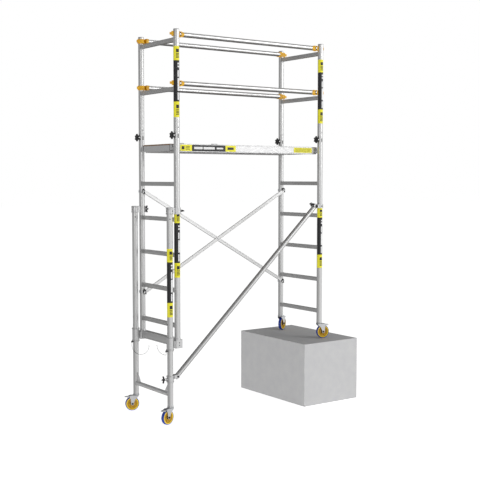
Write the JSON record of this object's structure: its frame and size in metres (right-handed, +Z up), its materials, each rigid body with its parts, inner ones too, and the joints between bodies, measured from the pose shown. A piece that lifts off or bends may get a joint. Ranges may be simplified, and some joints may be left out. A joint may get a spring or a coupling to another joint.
{
  "type": "mobile tower scaffold",
  "caption": "Narrow aluminium tower scaffold for a stair: ladder frames, guard rails, hatch deck, braces, and sliding stair legs on braked swivel casters.",
  "frame": {"origin": "centre of the tower in plan, at the ground under the lower casters", "axes": "X along the tower from the low end to the landing, Y from front to back, Z up"},
  "size_m": [1.8524, 0.6939, 3.319],
  "materials": {
    "aluminium_tube": "satin drawn",
    "ribbed_aluminium": "ribbed",
    "beam_aluminium": "matt extruded",
    "cast_aluminium": "cast",
    "brace_steel": "galvanised",
    "plywood": "film faced",
    "black_plastic": "moulded",
    "zinc_steel": "zinc plated",
    "yellow_rim": "moulded",
    "amber_plastic": "moulded",
    "label_film": "printed film",
    "blue_tyre": "moulded"
  },
  "bodies": {
    "tower": {"left_frame_uprights": "aluminium_tube", "right_frame_uprights": "aluminium_tube", "frame_rungs": "ribbed_aluminium", "guard_crossbars": "aluminium_tube", "guard_posts": "aluminium_tube", "frame_spigots": "aluminium_tube", "post_caps": "black_plastic", "bottom_beam": "aluminium_tube", "leg_sleeves": "cast_aluminium", "cross_brace_bars": "brace_steel", "cross_brace_clips": "black_plastic", "cross_brace_bolt": "brace_steel", "right_caster_stems": "zinc_steel"},
    "platform": {"platform_side_beams": "beam_aluminium", "platform_end_hooks": "cast_aluminium", "platform_crossbeams": "beam_aluminium", "deck_boards": "plywood", "hatch_hinge_plates": "zinc_steel"},
    "hatch": {"hatch_board": "plywood", "hatch_hinge_straps": "zinc_steel"},
    "stair_legs": {"stair_leg_tubes": "aluminium_tube", "foot_bar_and_gussets": "cast_aluminium", "leg_top_brackets": "cast_aluminium", "diagonal_tube": "aluminium_tube", "diagonal_clamps": "cast_aluminium", "left_caster_stems": "zinc_steel"},
    "front_top_guard_rail": {"front_top_rail": "aluminium_tube", "front_top_rail_claws": "amber_plastic"},
    "front_mid_guard_rail": {"front_mid_rail": "aluminium_tube", "front_mid_rail_claws": "amber_plastic"},
    "back_top_guard_rail": {"back_top_rail": "aluminium_tube", "back_top_rail_claws": "amber_plastic"},
    "back_mid_guard_rail": {"back_mid_rail": "aluminium_tube", "back_mid_rail_claws": "amber_plastic"},
    "front_pin": {"front_lock_pin": "zinc_steel"},
    "back_pin": {"back_lock_pin": "zinc_steel"},
    "left_front_caster": {"left_front_fork": "zinc_steel"},
    "left_front_wheel": {"left_front_rim": "yellow_rim", "left_front_tyre": "blue_tyre"},
    "left_front_brake": {"left_front_brake_pedal": "zinc_steel"},
    "left_back_caster": {"left_back_fork": "zinc_steel"},
    "left_back_wheel": {"left_back_rim": "yellow_rim", "left_back_tyre": "blue_tyre"},
    "left_back_brake": {"left_back_brake_pedal": "zinc_steel"},
    "right_front_caster": {"right_front_fork": "zinc_steel"},
    "right_front_wheel": {"right_front_rim": "yellow_rim", "right_front_tyre": "blue_tyre"},
    "right_front_brake": {"right_front_brake_pedal": "zinc_steel"},
    "right_back_caster": {"right_back_fork": "zinc_steel"},
    "right_back_wheel": {"right_back_rim": "yellow_rim", "right_back_tyre": "blue_tyre"},
    "right_back_brake": {"right_back_brake_pedal": "zinc_steel"},
    "left_front_knob": {"left_front_star_knob": "black_plastic"},
    "left_back_knob": {"left_back_star_knob": "black_plastic"},
    "right_front_knob": {"right_front_star_knob": "black_plastic"},
    "right_back_knob": {"right_back_star_knob": "black_plastic"},
    "front_leg_knob": {"front_leg_wing_knob": "black_plastic"},
    "back_leg_knob": {"back_leg_wing_knob": "black_plastic"},
    "low_clamp_knob": {"low_clamp_wing_knob": "black_plastic"},
    "high_clamp_knob": {"high_clamp_wing_knob": "black_plastic"}
  },
  "joints": [
    {"name": "stair_leg_slide", "type": "slide", "parent": "tower", "child": "stair_legs", "axis": [0, 0, 1], "range_m": [-0.225, 0]},
    {"name": "platform_lift", "type": "slide", "parent": "tower", "child": "platform", "axis": [0, 0, 1], "range_m": [0, 0.08]},
    {"name": "hatch_hinge", "type": "hinge", "parent": "platform", "child": "hatch", "pos_m": [-0.49, -0.222, 2.374], "axis": [1, 0, 0], "range_deg": [0, 95]},
    {"name": "front_top_rail_release", "type": "slide", "parent": "tower", "child": "front_top_guard_rail", "axis": [0, 1, 0], "range_m": [0, 0.12]},
    {"name": "front_mid_rail_release", "type": "slide", "parent": "tower", "child": "front_mid_guard_rail", "axis": [0, 1, 0], "range_m": [0, 0.12]},
    {"name": "back_top_rail_release", "type": "slide", "parent": "tower", "child": "back_top_guard_rail", "axis": [0, -1, 0], "range_m": [0, 0.12]},
    {"name": "back_mid_rail_release", "type": "slide", "parent": "tower", "child": "back_mid_guard_rail", "axis": [0, -1, 0], "range_m": [0, 0.12]},
    {"name": "front_pin_pull", "type": "slide", "parent": "stair_legs", "child": "front_pin", "axis": [-1, 0, 0], "range_m": [0, 0.06]},
    {"name": "back_pin_pull", "type": "slide", "parent": "stair_legs", "child": "back_pin", "axis": [-1, 0, 0], "range_m": [0, 0.06]},
    {"name": "left_front_swivel", "type": "hinge", "parent": "stair_legs", "child": "left_front_caster", "pos_m": [-0.821, -0.295, 0.14], "axis": [0, 0, 1], "continuous": true},
    {"name": "left_front_roll", "type": "hinge", "parent": "left_front_caster", "child": "left_front_wheel", "pos_m": [-0.85593, -0.30371, 0.0625], "axis": [0.2419, -0.9703, 0], "continuous": true},
    {"name": "left_front_brake_press", "type": "hinge", "parent": "left_front_caster", "child": "left_front_brake", "pos_m": [-0.88116, -0.31, 0.126], "axis": [0.2419, -0.9703, 0], "range_deg": [0, 9]},
    {"name": "left_back_swivel", "type": "hinge", "parent": "stair_legs", "child": "left_back_caster", "pos_m": [-0.821, 0.295, 0.14], "axis": [0, 0, 1], "continuous": true},
    {"name": "left_back_roll", "type": "hinge", "parent": "left_back_caster", "child": "left_back_wheel", "pos_m": [-0.85483, 0.30731, 0.0625], "axis": [-0.342, -0.9397, 0], "continuous": true},
    {"name": "left_back_brake_press", "type": "hinge", "parent": "left_back_caster", "child": "left_back_brake", "pos_m": [-0.87926, 0.31621, 0.126], "axis": [-0.342, -0.9397, 0], "range_deg": [0, 9]},
    {"name": "right_front_swivel", "type": "hinge", "parent": "tower", "child": "right_front_caster", "pos_m": [0.822, -0.295, 0.712], "axis": [0, 0, 1], "continuous": true},
    {"name": "right_front_roll", "type": "hinge", "parent": "right_front_caster", "child": "right_front_wheel", "pos_m": [0.85677, -0.30432, 0.6345], "axis": [0.2588, 0.9659, 0], "continuous": true},
    {"name": "right_front_brake_press", "type": "hinge", "parent": "right_front_caster", "child": "right_front_brake", "pos_m": [0.88189, -0.31105, 0.698], "axis": [0.2588, 0.9659, 0], "range_deg": [0, 9]},
    {"name": "right_back_swivel", "type": "hinge", "parent": "tower", "child": "right_back_caster", "pos_m": [0.822, 0.295, 0.712], "axis": [0, 0, 1], "continuous": true},
    {"name": "right_back_roll", "type": "hinge", "parent": "right_back_caster", "child": "right_back_wheel", "pos_m": [0.85408, 0.31134, 0.6345], "axis": [-0.454, 0.891, 0], "continuous": true},
    {"name": "right_back_brake_press", "type": "hinge", "parent": "right_back_caster", "child": "right_back_brake", "pos_m": [0.87724, 0.32315, 0.698], "axis": [-0.454, 0.891, 0], "range_deg": [0, 9]},
    {"name": "left_front_knob_turn", "type": "hinge", "parent": "tower", "child": "left_front_knob", "pos_m": [-0.795, -0.295, 2.438], "axis": [-1, 0, 0], "range_deg": [0, 360]},
    {"name": "left_back_knob_turn", "type": "hinge", "parent": "tower", "child": "left_back_knob", "pos_m": [-0.795, 0.295, 2.438], "axis": [-1, 0, 0], "range_deg": [0, 360]},
    {"name": "right_front_knob_turn", "type": "hinge", "parent": "tower", "child": "right_front_knob", "pos_m": [0.775, -0.295, 2.438], "axis": [-1, 0, 0], "range_deg": [0, 360]},
    {"name": "right_back_knob_turn", "type": "hinge", "parent": "tower", "child": "right_back_knob", "pos_m": [0.775, 0.295, 2.438], "axis": [-1, 0, 0], "range_deg": [0, 360]},
    {"name": "front_leg_knob_turn", "type": "hinge", "parent": "stair_legs", "child": "front_leg_knob", "pos_m": [-0.701, -0.295, 1.8055], "axis": [1, 0, 0], "range_deg": [0, 360]},
    {"name": "back_leg_knob_turn", "type": "hinge", "parent": "stair_legs", "child": "back_leg_knob", "pos_m": [-0.701, 0.295, 1.8055], "axis": [1, 0, 0], "range_deg": [0, 360]},
    {"name": "low_clamp_knob_turn", "type": "hinge", "parent": "stair_legs", "child": "low_clamp_knob", "pos_m": [-0.888, -0.295, 0.384], "axis": [-1, 0, 0], "range_deg": [0, 360]},
    {"name": "high_clamp_knob_turn", "type": "hinge", "parent": "stair_legs", "child": "high_clamp_knob", "pos_m": [0.72949, -0.295, 1.83787], "axis": [-0.682, 0, 0.7313], "range_deg": [0, 360]}
  ]
}
